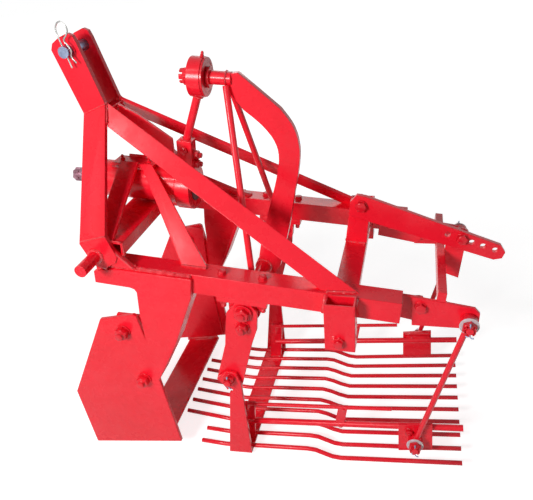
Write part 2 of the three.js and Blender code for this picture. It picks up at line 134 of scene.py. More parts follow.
def bumped(tree, bsdf, layers, edge=0.0):
    """Stacks bumps given as (height, strength, distance); edge rounds plate edges."""
    normal = None
    if edge:
        rounded = tree.nodes.new("ShaderNodeBevel")
        rounded.samples = 6
        rounded.inputs["Radius"].default_value = edge
        normal = rounded.outputs["Normal"]
    for height, strength, distance in layers:
        made = node(tree, "ShaderNodeBump", Strength=strength, Distance=distance)
        tree.links.new(height, made.inputs["Height"])
        if normal:
            tree.links.new(normal, made.inputs["Normal"])
        normal = made.outputs["Normal"]
    tree.links.new(normal, bsdf.inputs["Normal"])


def enamel(name, low, high, rough=(0.2, 0.34), edge=0.0022,
           lumps=0.0, gloss=0.28, coat=0.08):
    """Glossy sprayed paint: slight shade drift, orange peel, dust specks in the gloss."""
    mat, tree, bsdf = new_material(name)
    tree.links.new(ramp(tree, noise(tree, 7.0), low, high), bsdf.inputs["Base Color"])
    tree.links.new(span_map(tree, noise(tree, 26.0, 6.0), *rough), bsdf.inputs["Roughness"])
    bsdf.inputs["Specular IOR Level"].default_value = gloss
    bsdf.inputs["Coat Weight"].default_value = coat
    bsdf.inputs["Coat Roughness"].default_value = 0.12
    layers = [(noise(tree, 900.0, 2.0), 0.05, 0.0004), (noise(tree, 60.0, 3.0), 0.06, 0.002)]
    if lumps:
        layers.append((noise(tree, 420.0, 3.0), 0.7, lumps))
    bumped(tree, bsdf, layers, edge)
    return mat


def metal(name, low, high, rough, metallic=1.0, grain=500.0, edge=0.0008):
    mat, tree, bsdf = new_material(name)
    tree.links.new(ramp(tree, noise(tree, 70.0), low, high), bsdf.inputs["Base Color"])
    tree.links.new(span_map(tree, noise(tree, 160.0, 5.0), *rough), bsdf.inputs["Roughness"])
    bsdf.inputs["Metallic"].default_value = metallic
    bumped(tree, bsdf, [(noise(tree, grain, 3.0), 0.12, 0.0004)], edge)
    return mat


def plastic(name, low, high, rough, bump=0.1, scatter=0.0):
    mat, tree, bsdf = new_material(name)
    tree.links.new(ramp(tree, noise(tree, 55.0), low, high), bsdf.inputs["Base Color"])
    tree.links.new(span_map(tree, noise(tree, 120.0, 4.0), *rough), bsdf.inputs["Roughness"])
    bsdf.inputs["Subsurface Weight"].default_value = scatter
    bsdf.inputs["Subsurface Scale"].default_value = 0.003
    bumped(tree, bsdf, [(noise(tree, 380.0, 3.0), bump, 0.0004)])
    return mat


PAINT = enamel("red_enamel", (0.86, 0.007, 0.022), (0.97, 0.011, 0.032))
# bolts, nuts, washers, covers and fittings: the plate red made darker, painted shade of small parts
PAINT_TRIM_SHADED = enamel("red_enamel_trim_shaded", (0.62, 0.006, 0.017), (0.90, 0.010, 0.028),
                    (0.16, 0.32), 0.0006)
PAINT_WELD = enamel("red_enamel_weld", (0.66, 0.007, 0.018), (0.94, 0.016, 0.034),
                    (0.08, 0.20), 0.0, 0.0016, 0.5, 0.5)
STEEL = metal("machined_steel", (0.16, 0.19, 0.29), (0.34, 0.40, 0.56), (0.22, 0.4), 0.85)
WORN = metal("worn_shaft", (0.22, 0.10, 0.13), (0.46, 0.24, 0.30), (0.24, 0.42), 0.8)
ZINC = metal("zinc_wire", (0.30, 0.30, 0.29), (0.56, 0.56, 0.54), (0.16, 0.3))
NYLON = plastic("white_nylon", (0.58, 0.54, 0.57), (0.72, 0.68, 0.71), (0.24, 0.4), 0.06, 0.25)
RUBBER = plastic("dark_seal", (0.035, 0.012, 0.012), (0.07, 0.02, 0.02), (0.45, 0.65), 0.2)

NODE_LOOK = {"top_link_pin": (STEEL, "bare_steel"), "pin_clip": (ZINC, "zinc")}
NO_EDGE = {"sieve_grid", "pin_clip"}        # thin bars only: smooth them, leave their edges alone
OWN_SHAPE = {"pto_shaft"}                   # made anew below
SMOOTH_ANGLE = math.radians(34)
THIN_SMOOTH_ANGLE = math.radians(72)
FLAT_ANGLE = math.radians(0.8)              # facets nearer than this are one face
MERGE_M, EASED_EDGE_M = 4e-6, 0.0011


def skin(name):
    """A copy of a CAD node with merged corners, eased edges and smooth round faces."""
    look, finish = NODE_LOOK.get(name, (PAINT, "paint"))
    smooth = THIN_SMOOTH_ANGLE if name in NO_EDGE else SMOOTH_ANGLE
    bm = bmesh.new()
    bm.from_mesh(frame["nodes"][name].data)
    bmesh.ops.remove_doubles(bm, verts=bm.verts, dist=MERGE_M)
    bmesh.ops.dissolve_limit(bm, angle_limit=FLAT_ANGLE, verts=bm.verts, edges=bm.edges)
    mesh = bpy.data.meshes.new(f"{name}_skin")
    bm.to_mesh(mesh)
    bm.free()
    mesh.shade_smooth()
    mesh.set_sharp_from_angle(angle=smooth)
    obj = bpy.data.objects.new(f"{name}_skin", mesh)
    bpy.context.scene.collection.objects.link(obj)
    mesh.materials.append(look)
    if name not in NO_EDGE:
        ease = obj.modifiers.new("eased_edges", "BEVEL")
        ease.width = EASED_EDGE_M
        ease.segments = 2
        ease.limit_method = "ANGLE"
        ease.angle_limit = SMOOTH_ANGLE
        ease.use_clamp_overlap = True
        ease.harden_normals = True
    body = next(b for b, nodes in BODY_NODES.items() if name in nodes)
    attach(obj, body)
    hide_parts(name)


# ---------------------------------------------------------------- mesh kit
groups = {}
GROUP_SLOT = {id(STEEL): "bare_steel", id(WORN): "bare_steel", id(ZINC): "zinc"}


def put(group, body, mat, verts, faces):
    """Adds geometry, in row metres, to the named piece; a piece rides one body."""
    entry = groups.setdefault(group, {"body": body, "mat": mat, "verts": [], "faces": []})
    base = len(entry["verts"])
    entry["verts"] += [tuple(v) for v in verts]
    entry["faces"] += [tuple(base + i for i in face) for face in faces]


def frame_of(axis):
    """Two unit vectors square to an axis, the second as upright as it gets."""
    axis = Vector(axis).normalized()
    side = Vector((0, 0, 1)).cross(axis)
    if side.length < 1e-3:
        side = Vector((0, 1, 0)).cross(axis)
    side.normalize()
    return side, axis.cross(side)


def rings(sections, origin, axis, spin=0.0):
    """A closed body from sections [(height mm, [(angle, radius mm), ...]), ...] along an axis."""
    side, up = frame_of(axis)
    axis = Vector(axis).normalized()
    count = len(sections[0][1])
    verts = []
    for height, ring in sections:
        centre = Vector(origin) + axis * height / 1000
        for angle, radius in ring:
            a = angle + spin
            verts.append(centre + (side * math.cos(a) + up * math.sin(a)) * radius / 1000)
    faces = []
    for k in range(len(sections) - 1):
        for i in range(count):
            j = (i + 1) % count
            faces.append((k * count + i, k * count + j, (k + 1) * count + j, (k + 1) * count + i))
    faces.append(tuple(reversed(range(count))))
    last = (len(sections) - 1) * count
    faces.append(tuple(range(last, last + count)))
    return verts, faces


def circle(radius, count=28):
    return [(2 * math.pi * i / count, radius) for i in range(count)]


def hexagon(across, count=36, limit=None):
    ring = []
    for i in range(count):
        angle = 2 * math.pi * i / count
        off = (angle % (math.pi / 3)) - math.pi / 6
        radius = across / 2 / math.cos(off)
        ring.append((angle, min(radius, limit) if limit else radius))
    return ring


def lathe(profile, origin, axis, count=32):
    """profile: [(height, radius), ...] in mm along the axis."""
    return rings([(h, circle(r, count)) for h, r in profile], origin, axis)


def washer(group, body, mat, origin, axis, outer, thick):
    """Round disc with eased edges."""
    edge = min(0.6, thick / 3)
    put(group, body, mat, *lathe(
        [(0, outer - edge), (edge, outer), (thick - edge, outer), (thick, outer - edge)], origin, axis))


def nut(group, body, mat, origin, axis, across, height, spin=None):
    """Chamfered hexagon; its turn is drawn at random unless it is given."""
    spin = random.uniform(0, math.pi / 3) if spin is None else spin
    point = across / 2 / math.cos(math.pi / 6)
    rim = across * 0.478
    cut = height * 0.16
    put(group, body, mat, *rings([
        (0, hexagon(across, limit=rim * 1.02)), (cut * 0.6, hexagon(across, limit=point)),
        (height - cut, hexagon(across, limit=point)),
        (height - cut * 0.25, hexagon(across, limit=rim * 1.02)),
        (height, circle(rim * 0.94, 36)),
    ], origin, axis, spin))


def stud(group, body, mat, origin, axis, radius, length, pitch=2.0):
    """Thread end: fine rings between crest and root, with a chamfered tip."""
    profile = [(0, radius)]
    h = pitch * 0.5
    while h < length - pitch:
        profile += [(h, radius * 0.9), (h + pitch * 0.5, radius)]
        h += pitch
    profile += [(length - 0.8, radius * 0.92), (length, radius * 0.72)]
    put(group, body, mat, *lathe(profile, origin, axis, 20))


ACROSS, NUT_HIGH, HEAD_HIGH = 1.5, 0.8, 0.64     # of the thread size


def bolt_end(body, origin, axis, size, tail=8):
    """Washer, nut and thread end of a bolt of the given thread size in mm."""
    group = f"{body}_bolts"
    height, flat = size * NUT_HIGH, size * 0.19
    axis = Vector(axis).normalized()
    origin = Vector(origin)
    washer(group, body, PAINT_TRIM_SHADED, origin, axis, size * 0.98, flat)
    nut(group, body, PAINT_TRIM_SHADED, origin + axis * flat / 1000, axis, size * ACROSS, height)
    stud(group, body, PAINT_TRIM_SHADED, origin + axis * (flat + height) / 1000, axis, size / 2, tail)


def bolt_head(body, origin, axis, size):
    """Washer and hexagon head of a bolt of the given thread size in mm."""
    group = f"{body}_bolts"
    axis = Vector(axis).normalized()
    flat = size * 0.17
    washer(group, body, PAINT_TRIM_SHADED, origin, axis, size * 0.95, flat)
    nut(group, body, PAINT_TRIM_SHADED, Vector(origin) + axis * flat / 1000, axis, size * ACROSS, size * HEAD_HIGH)


def castle_nut(body, origin, axis, size, slots_turn=0.2):
    """Hexagon with six castellations standing on it."""
    mat, group = PAINT_TRIM_SHADED, f"{body}_bolts"
    axis = Vector(axis).normalized()
    origin = Vector(origin)
    across, low, high = size * ACROSS, size * 0.62, size * 0.95
    nut(group, body, mat, origin, axis, across, low, slots_turn)
    side, up = frame_of(axis)
    inner, outer = size * 0.53, across * 0.47
    half = math.radians(20)
    for k in range(6):
        mid = slots_turn + k * math.pi / 3
        angles = [mid - half + half * i / 2 for i in range(5)]
        verts = []
        for h in (low - 0.4, high):
            for radius in (inner, outer - (0.5 if h == high else 0)):
                for a in angles:
                    out = side * math.cos(a) + up * math.sin(a)
                    verts.append(origin + axis * h / 1000 + out * radius / 1000)
        n = len(angles)
        faces = []
        for i in range(n - 1):
            faces += [
                (i, i + 1, n + i + 1, n + i), (2 * n + i, 3 * n + i, 3 * n + i + 1, 2 * n + i + 1),
                (i, 2 * n + i, 2 * n + i + 1, i + 1), (n + i, n + i + 1, 3 * n + i + 1, 3 * n + i),
            ]
        faces += [(0, n, 3 * n, 2 * n), (n - 1, 3 * n - 1, 4 * n - 1, 2 * n - 1)]
        put(group, body, mat, verts, faces)


def tube(points, radius, sides=10, closed=False, wobble=0.0, pitch=3.0, seed=0):
    """A tube through points in row metres; radius in mm, wobble ripples it like a weld."""
    pts = [Vector(p) for p in points]
    count = len(pts)
    dice = random.Random(seed)
    phase = dice.uniform(0, 6)
    verts, faces = [], []
    side = None
    travelled = 0.0
    for i, p in enumerate(pts):
        if closed:
            ahead = pts[(i + 1) % count] - pts[i - 1]
        else:
            ahead = pts[min(i + 1, count - 1)] - pts[max(i - 1, 0)]
        ahead.normalize()
        if side is None:
            side, _ = frame_of(ahead)
        side = (side - ahead * side.dot(ahead)).normalized()
        up = ahead.cross(side)
        if i:
            travelled += (p - pts[i - 1]).length * 1000
        r = radius
        if wobble:
            ripple = abs(math.sin(math.pi * travelled / pitch + phase))
            r *= 1 + wobble * ripple + dice.uniform(-wobble, wobble) * 0.4
            if not closed and (i == 0 or i == count - 1):
                r *= 0.35
        for k in range(sides):
            a = 2 * math.pi * k / sides
            verts.append(p + (side * math.cos(a) + up * math.sin(a)) * r / 1000)
    for i in range(count if closed else count - 1):
        j = (i + 1) % count
        for k in range(sides):
            n = (k + 1) % sides
            faces.append((i * sides + k, i * sides + n, j * sides + n, j * sides + k))
    if not closed:
        faces.append(tuple(reversed(range(sides))))
        faces.append(tuple(range((count - 1) * sides, count * sides)))
    return verts, faces


def along(corners, step=1.5):
    """Points every step mm on straight stretches between corners, in machine mm."""
    out = []
    for a, b in zip(corners, corners[1:]):
        a, b = Vector(a), Vector(b)
        n = max(2, int((b - a).length / step))
        out += [a.lerp(b, i / n) for i in range(n)]
    out.append(Vector(corners[-1]))
    return out


def weld(body, corners, radius=2.6, pitch=3.2):
    """A bead along machine-frame corners."""
    seed = len(groups.get(f"{body}_weld_beads", {"verts": []})["verts"])
    points = [at(*p) for p in along(corners)]
    put(f"{body}_weld_beads", body, PAINT_WELD, *tube(points, radius, 7, False, 0.32, pitch, seed))


def weld_ring(body, centre, axis, ring_radius, radius=2.6):
    side, up = frame_of(axis)
    n = max(24, int(ring_radius * 2 * math.pi / 1.8))
    points = []
    for i in range(n):
        a = 2 * math.pi * i / n
        points.append(Vector(centre) + (side * math.cos(a) + up * math.sin(a)) * ring_radius / 1000)
    put(f"{body}_weld_beads", body, PAINT_WELD, *tube(points, radius, 7, True, 0.3, 3.2, n))


def cotter(body, origin, axis, across, reach):
    """Split pin through a castle nut: a loop on one side, two bent legs on the other."""
    side, up = frame_of(axis)
    axis = Vector(axis).normalized()
    origin = Vector(origin)

    def spot(a, b, c):
        return origin + (side * a + up * b + axis * c) / 1000

    for sign in (-1, 1):
        path = [(0, reach + 5, sign * 0.5), (0, reach + 4, sign * 2.2), (0, reach + 1, sign * 1.6),
                (0, reach - 2, sign * 0.8), (0, -reach + 1, sign * 0.8), (sign * 1.5, -reach - 2, sign * 1.4),
                (sign * 5, -reach - 4, sign * 2.5), (sign * 8, -reach - 3, sign * 3.5)]
        put(f"{body}_cotter_pins", body, STEEL, *tube([spot(*p) for p in path], across / 2, 8))


# ---------------------------------------------------------------- sizes repeated from the CAD
FRAME_HALF, BEAM = 223.0, 50.0
# from the mid-plane to the outer face of the side plate, hitch plate, wheel sleeve, ...
PLATE_OUT = FRAME_HALF + 10.3
HITCH_OUT = FRAME_HALF + 12.3
SLEEVE_OUT = FRAME_HALF + 40.3
HANGER_OUT, BRACKET_OUT, ARM_OUT = 206.0, 217.0, 181.0
GUARD_Y, LINK_Y = 165.0, 196.0
# the drive: height of its axis, shaft radius, ends of the housing and of the rod's lower ring
PTO_Z, SHAFT_R = 104.0, 17.5
HOUSING_FRONT, RING_BACK = -410.0, -172.0
# places in X and Z of pins, pivots and bolts
LINK_TOP, LINK_LOW = (479.0, -43.0), (423.0, -420.0)
EYE_X, EYE_Z = -148.0, 369.0
LOWER_PIN, HANGER_PIN = (-329.0, 23.0), (-35.0, -296.0)
PLATE_BOLTS = ((-293, -186), (-256, -333))
ROD_COUNT, ROD_SPAN = 10, 196.0

# ---------------------------------------------------------------- front frame, both sides
for s in SIDES:
    out = aim(0, s, 0)
    for x, z in PLATE_BOLTS:
        bolt_end("frame", at(x, s * PLATE_OUT, z), out, 19, 9)
        bolt_head("frame", at(x, s * (FRAME_HALF - 8.6), z), -out, 16)
    seam = s * (FRAME_HALF + 1.6)
    weld("frame", [(-301, seam, -4.6), (-110, seam, -4.6)], 4.2)
    weld("frame", [(-342, seam, -24), (-302, seam, -4)], 2.6)
    weld("frame", [(-344, seam, -52), (-262, seam, -53)], 2.6)
    weld("frame", [(-111, s * (FRAME_HALF + 3), -11), (-114, s * (FRAME_HALF + 3), -52)], 2.8)
    weld("frame", [(-113, s * (FRAME_HALF - BEAM + 3), -52), (-109, s * (FRAME_HALF - 5), -52)], 2.6)
    for x0, z0, x1, z1 in ((-121, -66, -163, -196), (-171, -212, -216, -322)):
        weld("frame", [(x0, s * (FRAME_HALF - 1.5), z0), (x1, s * (FRAME_HALF - 1.5), z1)], 2.4)
    # share to the plates
    weld("frame", [(-322, s * (FRAME_HALF - 11), -584), (-218, s * (FRAME_HALF - 11), -556)], 4.2, 4.4)
    weld("frame", [(-300, s * (FRAME_HALF - 19), -579.5), (-232, s * (FRAME_HALF - 17), -562)], 2.4, 3.6)
    # hitch plate: lower pin root, seam across the plate, seam to the clevis plate
    weld_ring("frame", at(LOWER_PIN[0], s * (HITCH_OUT + 0.8), LOWER_PIN[1]), out, 15.6, 3.4)
    weld_ring("frame", at(LOWER_PIN[0], s * (HITCH_OUT + 2.6), LOWER_PIN[1]), out, 14.6, 2.2)
    weld("frame", [(-361.5, s * (HITCH_OUT + 0.2), 55), (-332, s * (HITCH_OUT + 0.4), 66),
                   (-299, s * (HITCH_OUT - 0.4), 76.5)], 1.7, 4.0)
    weld("frame", [(-421, s * 39.2, 278.2), (-363, s * 39.2, 304.2)], 1.5, 4.0)
    weld("frame", [(-364, s * 37, 304.4), (-363.2, s * 30, 304.4)], 2.0)
    weld("frame", [(-354, s * (FRAME_HALF + 2.6), 16), (-331, s * (FRAME_HALF + 3), -8),
                   (-306, s * (FRAME_HALF + 11), -8.4)], 2.6)
    weld("frame", [(-283, s * (FRAME_HALF + 9.5), 36), (-243, s * (FRAME_HALF + 9.5), 0.5)], 2.0)
    weld("frame", [(-292, s * (FRAME_HALF + 1), 2.2), (-240, s * (FRAME_HALF + 1), 2.2)], 2.6)
    # front cross-member against the hitch plates
    weld("frame", [(-343, s * (FRAME_HALF - 1.6), 57.4), (-269, s * (FRAME_HALF - 1.6), 57.4)], 2.4)
    weld("frame", [(-266.6, s * (FRAME_HALF - 1.6), 56), (-266.6, s * (FRAME_HALF - 1.6), 25)], 2.4)
    # diagonal brace on the beam and against the hitch plate
    weld("frame", [(184, s * 218.6, 1.4), (246, s * 206.8, 1.4)], 2.7)
    weld("frame", [(180, s * 207, 1.4), (236, s * 196, 1.4)], 2.6)
    weld("frame", [(-361.6, s * 33.4, 302.2), (-352.4, s * 62.8, 267.8)], 1.9, 4.4)
    # stay on the mast block and on the bearing housing
    weld("frame", [(-351.2, s * 5, 292), (-351.2, s * 5, 256)], 2.0)
    weld("frame", [(-266, s * 5.4, 150.4), (-222, s * 5.4, 150.4)], 2.4)
    # cradle legs on the beams and on the cross-member
    weld("frame", [(-144, s * 195.6, 1.8), (-84, s * 195.6, 1.8)], 2.8)
    weld("frame", [(-148, s * 180.4, 1.6), (-92, s * 180.4, 1.6)], 2.6)
    weld("frame", [(-334, s * 208.6, 57.8), (-290, s * 208.6, 57.8)], 2.6)
    weld("frame", [(-378, s * 23, 147), (-272, s * 23, 147)], 2.8)
    # cross-member ends, wheel sleeve, arm holder
    weld("frame", [(198.6, s * 171.6, -2), (198.6, s * 171.6, -48)], 2.6)
    weld("frame", [(251.4, s * 171.6, -48), (251.4, s * 171.6, -3)], 2.6)
    weld("frame", [(185.4, s * (FRAME_HALF + 2), -1), (181.4, s * (FRAME_HALF + 2), -50)], 3.0)
    weld("frame", [(250.8, s * (FRAME_HALF + 2), -1), (246.8, s * (FRAME_HALF + 2), -50)], 3.0)
    weld("frame", [(280, s * 171.8, -10.6), (340, s * 171.8, -11.2)], 2.2)
    weld("frame", [(342.2, s * 171.5, -14), (342.2, s * 171.5, -48)], 2.2)
    # clamp screw of the sleeve: welded nut, then the screw's head
    nut("frame_bolts", "frame", PAINT_TRIM_SHADED, at(224, s * SLEEVE_OUT, -88), out, 22, 5, 0.3)
    bolt_head("frame", at(224, s * (SLEEVE_OUT + 5), -88), out, 12)
    weld("frame", [(208, s * (SLEEVE_OUT + 0.3), -79), (216, s * (SLEEVE_OUT + 0.3), -77)], 1.3)
    weld("frame", [(209, s * (SLEEVE_OUT + 0.3), -85), (215, s * (SLEEVE_OUT + 0.3), -83.4)], 1.3)
    # rear arm bolts, through the holder
    bolt_head("frame", at(381, s * ARM_OUT, -31), out, 14)
    bolt_end("frame", at(377, s * 164.4, -34), -out, 16, 5)
    # bearing bolts through the beams
    for x in (-46, 46):
        bolt_head("frame", at(x, s * 203, 0), aim(0, 0, 1), 11)
        bolt_end("frame", at(x, s * 201, -66), aim(0, 0, -1), 12, 12)
    # rear cross bar on the arms
    for x in (408.8, 429.2):
        weld("frame", [(x, s * 174.5, -11.6), (x, s * 180, -11.6)], 2.2)
    # grease fitting on each rocker bearing
    put("frame_bolts", "frame", PAINT_TRIM_SHADED, *lathe([(0, 4.2), (5, 4.2), (6, 2.6), (10, 3.0), (12, 1.8)],
                                                   at(-34, s * 182, -84), aim(-1, 0, 0.35), 12))


def link_hinge(body, x, z, s):
    """Boss, nylon washer, castle nut and split pin on one link pin, either side of the link's eye."""
    out = aim(0, s, 0)
    put(f"{body}_bolts", body, PAINT_TRIM_SHADED, *lathe([(0, 15.4), (0.6, 16), (5.2, 16), (5.7, 15.4)],
                                                  at(x, s * (ARM_OUT + 0.1), z), out))
    washer(f"{body}_washers", body, NYLON, at(x, s * 205.3, z), out, 20, 2.6)
    castle_nut(body, at(x, s * 208.0, z), out, 18, 0.35)
    cotter(body, at(x, s * 223.0, z), out, 3.0, 12)


for s in SIDES:
    link_hinge("frame", *LINK_TOP, s)
    link_hinge("sieve", *LINK_LOW, s)

# ---------------------------------------------------------------- adjusting arm at the rear
near = aim(0, -1, 0)
bolt_head("frame", at(229, -12.2, 105), near, 15)
bolt_end("frame", at(228, 12.2, 104), -near, 16, 7)
bolt_head("frame", at(459, -12.2, 51), near, 14)
bolt_end("frame", at(458.5, 8.2, 50), -near, 16, 7)
weld("frame", [(201.5, 3, 2), (201.5, 12, 2)], 2.4)
weld("frame", [(203, 13.4, 1.8), (248, 13.4, 1.8)], 2.8)
weld("frame", [(203, -1.4, 1.8), (248, -1.4, 1.8)], 2.6)
for z in (-9, 8):
    weld("frame", [(429.6, -0.8, z), (429.6, 8.4, z)], 1.8)

# ---------------------------------------------------------------- bearing housing and cradle
axis_front = aim(-1, 0, 0)
put("frame_bolts", "frame", PAINT_TRIM_SHADED, *lathe(
    [(0.2, 40), (1, 41), (6, 41), (7, 40), (7, 31), (9, 30), (9, 27)],
    at(HOUSING_FRONT, 0, PTO_Z), axis_front, 48))
put("frame_seals", "frame", RUBBER, *lathe(
    [(0, 27), (9.6, 27), (10.4, 25), (10.4, 20)], at(HOUSING_FRONT, 0, PTO_Z), axis_front, 40))
for k in range(6):
    a = math.radians(30 + 60 * k)
    bolt_head("frame", at(-417, 35.5 * math.cos(a), PTO_Z + 35.5 * math.sin(a)), axis_front, 5.5)
for x in (-360, -290):
    put("frame_bolts", "frame", PAINT_TRIM_SHADED, *lathe([(0, 6), (3, 6.2), (4, 3.4), (9, 3.4), (10, 4), (12, 2.2)],
                                                   at(x, 0, PTO_Z + 53.2), aim(0, 0, 1), 14))

# ---------------------------------------------------------------- drive shaft
def spline_ring(outer, root, teeth=6, steps=8):
    ring = []
    for i in range(teeth * steps):
        phase = (i % steps) / steps
        ring.append((2 * math.pi * i / (teeth * steps), outer if phase < 0.5 else root))
    return ring


tip = spline_ring(SHAFT_R - 1.4, 13.6)
full = spline_ring(SHAFT_R - 0.1, 14.0)
groove = [(a, 14.2 if r > 15 else r) for a, r in full]
shaft = [(1, tip), (3.4, full), (15, full), (16.2, groove), (23, groove), (24.2, full), (66, full)]
shaft += [(67, circle(SHAFT_R, 48)), (296, circle(SHAFT_R, 48)), (296.6, circle(SHAFT_R - 1, 48))]
put("pto_shaft_skin", "pto_shaft", WORN, *rings(shaft, at(-499, 0, PTO_Z), aim(1, 0, 0)))
put("pto_shaft_skin", "pto_shaft", WORN, *lathe(
    [(0, 15.4), (0.8, 16), (25, 16), (25.8, 15.2)], at(-203, 8, PTO_Z), aim(1, 0, 0), 36))
put("pto_shaft_skin", "pto_shaft", WORN, *lathe(
    [(0, 8), (3, 7.4), (3.4, 3)], at(-499, 0, PTO_Z), axis_front, 20))

# ---------------------------------------------------------------- connecting rod
put("connecting_rod_seals", "connecting_rod", RUBBER, *lathe(
    [(0, 33), (1.6, 33), (2, 30), (2, 19)], at(RING_BACK, 0, PTO_Z), aim(1, 0, 0), 40))
for z in (164, 186):
    bolt_end("connecting_rod", at(RING_BACK, 0, z), aim(1, 0, 0), 13, 7)
for s in SIDES:
    weld("connecting_rod", [(-207, s * 15.6, 158), (-173, s * 15.6, 158)], 2.4)
    put("connecting_rod_bolts", "connecting_rod", PAINT_TRIM_SHADED, *lathe(
        [(0, 9), (1.5, 9.4), (7, 9.4), (8, 8)], at(-190, s * 15.1, 200), aim(0, s, 0), 24))
    nut("connecting_rod_bolts", "connecting_rod", PAINT_TRIM_SHADED, at(-190, s * 23, 200), aim(0, s, 0), 15, 7)
weld_ring("connecting_rod", at(-189.6, 0, 222.6), aim(38, 0, 117), 11, 2.4)
weld_ring("connecting_rod", at(-153.5, 0, 327), aim(38, 0, 117), 11, 2.6)
# covers on the eye in the darker trim red, which paints their shade
put("connecting_rod_bolts", "connecting_rod", PAINT_TRIM_SHADED, *lathe(
    [(2, 33.6), (4.4, 33.6), (5, 31), (5, 27)], at(EYE_X + 15, 0, EYE_Z), aim(1, 0, 0), 44))
put("connecting_rod_bolts", "connecting_rod", PAINT_TRIM_SHADED, *lathe(
    [(0.2, 41), (1, 42), (4.6, 42), (5.4, 41), (5.4, 34), (4, 33)],
    at(EYE_X + 15, 0, EYE_Z), aim(1, 0, 0), 48))
put("connecting_rod_bolts", "connecting_rod", PAINT_TRIM_SHADED, *lathe(
    [(0, 4), (4, 4.4), (5, 3.4), (9, 3.6), (11, 2.4), (12.4, 1.8)],
    at(EYE_X + 10, 0, EYE_Z + 42.4), aim(0.15, 0, 1), 14))

# ---------------------------------------------------------------- rocker
washer("rocker_bolts", "rocker", PAINT_TRIM_SHADED, at(EYE_X - 16.6, 0, EYE_Z), axis_front, 22, 1.8)
castle_nut("rocker", at(EYE_X - 18.2, 0, EYE_Z), axis_front, 24, 0.1)
put("rocker_bolts", "rocker", PAINT_TRIM_SHADED, *lathe(
    [(0, 22), (1, 23), (6, 23), (7, 22), (7, 18)], at(EYE_X + 21.4, 0, EYE_Z), aim(1, 0, 0), 40))
weld_ring("rocker", at(-84, 0, EYE_Z), aim(1, 0, 0), 15.4, 2.0)
for s in SIDES:
    out = aim(0, s, 0)
    weld_ring("rocker", at(0, s * 9.4, SHAFT_Z), out, 19, 2.8)
    weld_ring("rocker", at(14.4, s * 155.6, -77), aim(99, s * 146, -440), 8.6, 2.4)
    washer("rocker_bolts", "rocker", PAINT_TRIM_SHADED, at(0, s * 209.2, SHAFT_Z), out, 22, 3)
    nut("rocker_bolts", "rocker", PAINT_TRIM_SHADED, at(0, s * 212.2, SHAFT_Z), out, 30, 12, 0.25)
    stud("rocker_bolts", "rocker", PAINT_TRIM_SHADED, at(0, s * 224, SHAFT_Z), out, 9, 5)
    bolt_end("rocker", at(-1, s * HANGER_OUT, -137), out, 17, 8)
    bolt_head("rocker", at(-1, s * 197.8, -137), -out, 12)

# ---------------------------------------------------------------- sieve
for s in SIDES:
    out = aim(0, s, 0)
    washer("sieve_bolts", "sieve", PAINT_TRIM_SHADED,
           at(HANGER_PIN[0], s * BRACKET_OUT, HANGER_PIN[1]), out, 15, 2.6)
    castle_nut("sieve", at(HANGER_PIN[0], s * (BRACKET_OUT + 2.6), HANGER_PIN[1]), out, 17, 0.5)
    cotter("sieve", at(HANGER_PIN[0], s * (BRACKET_OUT + 16.4), HANGER_PIN[1]), out, 3.0, 12)
    weld("sieve", [(-42, s * 207.4, -563.5), (16, s * 207.4, -549.6)], 2.8)
    # guard: post, strut and rear plate
    weld_ring("sieve", at(238, s * GUARD_Y, -441), aim(0.27, 0, 1), 8.4, 2.4)
    weld_ring("sieve", at(244, s * GUARD_Y, -386), aim(0.27, 0, 1), 5.4, 2.0)
    weld("sieve", [(-16, s * (GUARD_Y + 4.6), -489), (12, s * (GUARD_Y + 4.6), -483)], 2.4)
    weld("sieve", [(-16, s * (GUARD_Y - 4.6), -554), (12, s * (GUARD_Y - 4.6), -548)], 2.4)
    weld("sieve", [(384, s * 172.4, -391), (450, s * 172.4, -375)], 2.4)
    bolt_end("sieve", at(406, s * ARM_OUT, -403), out, 11, 5)
    bolt_head("sieve", at(408, s * (ARM_OUT - 8.2), -403), -out, 13)
for i in range(ROD_COUNT):
    y = -ROD_SPAN + 2 * ROD_SPAN * i / (ROD_COUNT - 1)
    for x, z in ((-40, -563.5), (14, -550.4)):
        weld("sieve", [(x - 1.5, y - 7.4, z), (x + 1.5, y - 5.4, z + 0.6)], 2.6)
        weld("sieve", [(x - 1.5, y + 7.4, z), (x + 1.5, y + 5.4, z + 0.6)], 2.6)
    weld("sieve", [(-34, y + 6.8, -562.2), (8, y + 6.8, -552.4)], 1.8)
    weld("sieve", [(-34, y - 6.8, -562.2), (8, y - 6.8, -552.4)], 1.8)

# ---------------------------------------------------------------- rear links: neck welds
for name, s in (("left_rear_link", -1), ("right_rear_link", 1)):
    run = aim(LINK_LOW[0] - LINK_TOP[0], 0, LINK_LOW[1] - LINK_TOP[1])
    top, low = at(LINK_TOP[0], s * LINK_Y, LINK_TOP[1]), at(LINK_LOW[0], s * LINK_Y, LINK_LOW[1])
    weld_ring(name, top + run * 0.0168, run, 7.4, 1.9)
    weld_ring(name, low - run * 0.0168, run, 7.4, 1.9)

# ---------------------------------------------------------------- build pieces
def build_pieces():
    for name, entry in groups.items():
        mesh = bpy.data.meshes.new(name)
        mesh.from_pydata(entry["verts"], [], entry["faces"])
        mesh.validate()
        mesh.update()
        mesh.shade_smooth()
        mesh.set_sharp_from_angle(angle=SMOOTH_ANGLE)
        obj = bpy.data.objects.new(name, mesh)
        bpy.context.scene.collection.objects.link(obj)
        obj.data.materials.append(entry["mat"])
        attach(obj, entry["body"])
        GROUP_SLOT.get(id(entry["mat"]), "paint")
        if name == "pto_shaft_skin":
            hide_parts("pto_shaft")


BODY_NODES = frame["record"]["behaviour"]["bodies"]
for node_name in frame["nodes"]:
    if node_name not in OWN_SHAPE:
        skin(node_name)
build_pieces()


